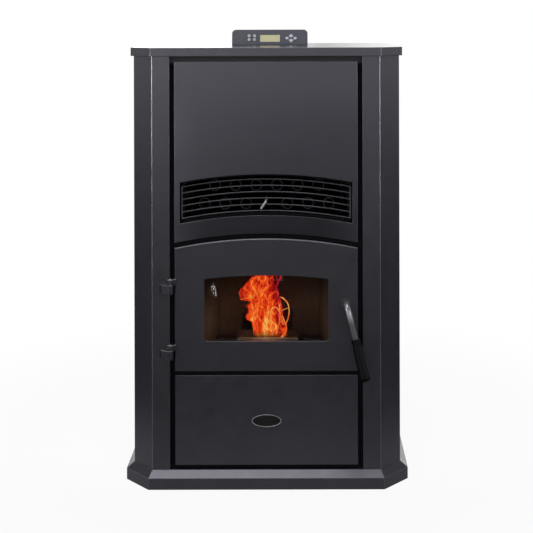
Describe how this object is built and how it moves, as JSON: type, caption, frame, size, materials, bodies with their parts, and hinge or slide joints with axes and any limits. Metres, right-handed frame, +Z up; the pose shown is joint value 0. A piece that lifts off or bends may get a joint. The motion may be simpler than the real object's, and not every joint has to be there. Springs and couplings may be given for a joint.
{
  "type": "pellet stove",
  "caption": "Freestanding pellet stove: charcoal steel body, arched warm-air grille, glazed fire door with handle, ash drawer, hopper lid and sloping control console.",
  "frame": {"origin": "centre of the base's underside", "axes": "+Z up, +X to the viewer's right, the front faces -Y"},
  "size_m": [0.61, 0.6188, 0.9735],
  "materials": {
    "body_paint": "satin charcoal powder coat",
    "frame_paint": "dark satin paint",
    "grille_paint": "satin grey paint",
    "door_cast": "satin dark paint",
    "galvanised": "dull zinc coat",
    "steel": "machined",
    "tube_steel": "heat-darkened",
    "motor_metal": "satin grey paint",
    "firebox_paint": "heat-stained brown",
    "cast": "raw casting",
    "glass": "clear, slightly smoked",
    "rope": "braided",
    "seal_rubber": "matte",
    "grip_plastic": "satin black",
    "badge_metal": "brushed dark",
    "black_plastic": "moulded",
    "console_plastic": "fine speckled texture",
    "display": "blank display",
    "board": "circuit board",
    "key_dark": "moulded",
    "key_light": "moulded"
  },
  "bodies": {
    "stove": {"base_plinth": "body_paint", "side_panel_right": "body_paint", "side_panel_left": "body_paint", "rear_panel": "galvanised", "front_frame": "frame_paint", "top_rear_plate": "body_paint", "lid_hinge_pins": "steel", "hopper": "galvanised", "front_upper_panel": "body_paint", "louvre_grille": "grille_paint", "door_hinge_brackets": "body_paint", "door_hinge_pins": "steel", "firebox_stand": "galvanised", "firebox": "firebox_paint", "firebox_liners": "firebox_paint", "burn_pot": "cast", "igniter": "steel", "heat_exchanger_tubes": "tube_steel", "auger_tube": "galvanised", "auger_gearmotor": "motor_metal", "pellet_chute": "galvanised", "exhaust_duct": "galvanised", "exhaust_blower_housing": "galvanised", "exhaust_motor": "motor_metal", "exhaust_outlet": "galvanised", "air_intake_pipe": "galvanised", "convection_blower_housing": "galvanised", "convection_motor": "motor_metal", "convection_duct": "galvanised", "rear_panel_screws": "steel", "power_inlet": "black_plastic", "console_housing": "console_plastic", "display_window": "display", "control_board": "board"},
    "lid": {"hopper_lid": "body_paint", "lid_seal": "seal_rubber"},
    "door": {"door_panel": "door_cast", "door_glass": "glass", "glass_clips": "steel", "door_rope_seal": "rope", "door_hinge_lugs": "door_cast", "handle_washer": "steel"},
    "handle": {"handle_rod": "steel", "handle_grip": "grip_plastic", "latch_cam": "steel"},
    "drawer": {"ash_drawer_front": "body_paint", "ash_pan": "galvanised", "badge_plate": "badge_metal"},
    "scraper": {"tube_scraper": "steel"},
    "auger_screw": {"auger": "steel"},
    "exhaust_fan": {"exhaust_impeller": "steel"},
    "convection_fan": {"convection_impeller": "galvanised"},
    "key_round_1": {"round_key_1": "key_dark"},
    "key_round_2": {"round_key_2": "key_dark"},
    "key_round_3": {"round_key_3": "key_dark"},
    "key_round_4": {"round_key_4": "key_dark"},
    "key_arrow_right": {"arrow_key_right": "key_light"},
    "key_arrow_up": {"arrow_key_up": "key_light"},
    "key_arrow_left": {"arrow_key_left": "key_light"},
    "key_arrow_down": {"arrow_key_down": "key_light"}
  },
  "joints": [
    {"name": "door_hinge", "type": "hinge", "parent": "stove", "child": "door", "pos_m": [-0.204, -0.262, 0.37], "axis": [0, 0, -1], "range_deg": [0, 110]},
    {"name": "handle_turn", "type": "hinge", "parent": "door", "child": "handle", "pos_m": [0.1713, -0.25, 0.39], "axis": [0, -1, 0], "range_deg": [0, 75]},
    {"name": "lid_hinge", "type": "hinge", "parent": "stove", "child": "lid", "pos_m": [0, 0.016, 0.933], "axis": [-1, 0, 0], "range_deg": [0, 80]},
    {"name": "drawer_slide", "type": "slide", "parent": "stove", "child": "drawer", "axis": [0, -1, 0], "range_m": [0, 0.2]},
    {"name": "scraper_pull", "type": "slide", "parent": "stove", "child": "scraper", "axis": [0, -1, 0], "range_m": [0, 0.18]},
    {"name": "auger_spin", "type": "hinge", "parent": "stove", "child": "auger_screw", "pos_m": [0, 0.165, 0.385], "axis": [0, -0.7071, 0.7071], "continuous": true},
    {"name": "exhaust_fan_spin", "type": "hinge", "parent": "stove", "child": "exhaust_fan", "pos_m": [0.09, 0.095, 0.175], "axis": [1, 0, 0], "continuous": true},
    {"name": "convection_fan_spin", "type": "hinge", "parent": "stove", "child": "convection_fan", "pos_m": [-0.156, 0.116, 0.15], "axis": [1, 0, 0], "continuous": true},
    {"name": "key_round_1_press", "type": "slide", "parent": "stove", "child": "key_round_1", "axis": [0, 0.9848, -0.1736], "range_m": [0, 0.0008], "stiffness_N_per_m": 400},
    {"name": "key_round_2_press", "type": "slide", "parent": "stove", "child": "key_round_2", "axis": [0, 0.9848, -0.1736], "range_m": [0, 0.0008], "stiffness_N_per_m": 400},
    {"name": "key_round_3_press", "type": "slide", "parent": "stove", "child": "key_round_3", "axis": [0, 0.9848, -0.1736], "range_m": [0, 0.0008], "stiffness_N_per_m": 400},
    {"name": "key_round_4_press", "type": "slide", "parent": "stove", "child": "key_round_4", "axis": [0, 0.9848, -0.1736], "range_m": [0, 0.0008], "stiffness_N_per_m": 400},
    {"name": "key_arrow_right_press", "type": "slide", "parent": "stove", "child": "key_arrow_right", "axis": [0, 0.9848, -0.1736], "range_m": [0, 0.0008], "stiffness_N_per_m": 400},
    {"name": "key_arrow_up_press", "type": "slide", "parent": "stove", "child": "key_arrow_up", "axis": [0, 0.9848, -0.1736], "range_m": [0, 0.0008], "stiffness_N_per_m": 400},
    {"name": "key_arrow_left_press", "type": "slide", "parent": "stove", "child": "key_arrow_left", "axis": [0, 0.9848, -0.1736], "range_m": [0, 0.0008], "stiffness_N_per_m": 400},
    {"name": "key_arrow_down_press", "type": "slide", "parent": "stove", "child": "key_arrow_down", "axis": [0, 0.9848, -0.1736], "range_m": [0, 0.0008], "stiffness_N_per_m": 400}
  ]
}
